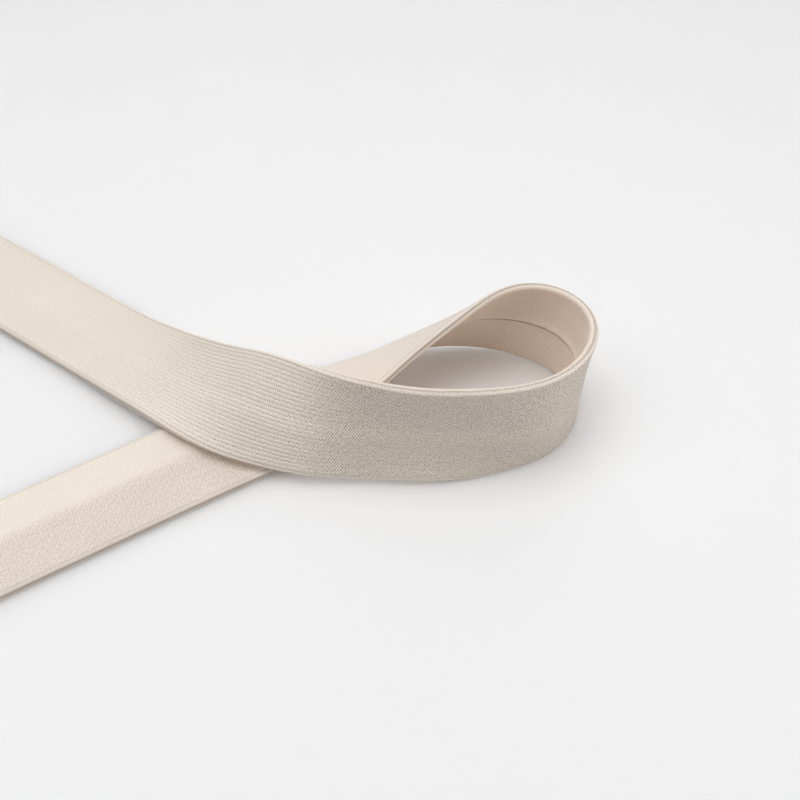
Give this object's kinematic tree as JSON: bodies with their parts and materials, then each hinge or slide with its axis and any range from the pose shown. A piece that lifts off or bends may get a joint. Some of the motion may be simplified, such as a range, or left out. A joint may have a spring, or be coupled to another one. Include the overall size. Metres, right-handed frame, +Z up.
{
  "type": "looped length of jersey bias tape",
  "caption": "Length of folded cotton jersey bias tape lying in one standing loop with two flat crossed tails, for binding or trimming a cloth edge",
  "frame": {"origin": "on the surface the tape lies on, under the middle of its bounding box", "axes": "+X from the cut ends towards the standing loop, +Y away from the viewer, +Z up"},
  "size_m": [0.1442, 0.1084, 0.0203],
  "materials": {
    "jersey": "matt knitted jersey, warm off-white"
  },
  "bodies": {
    "root": {"tape": "jersey"}
  },
  "joints": []
}
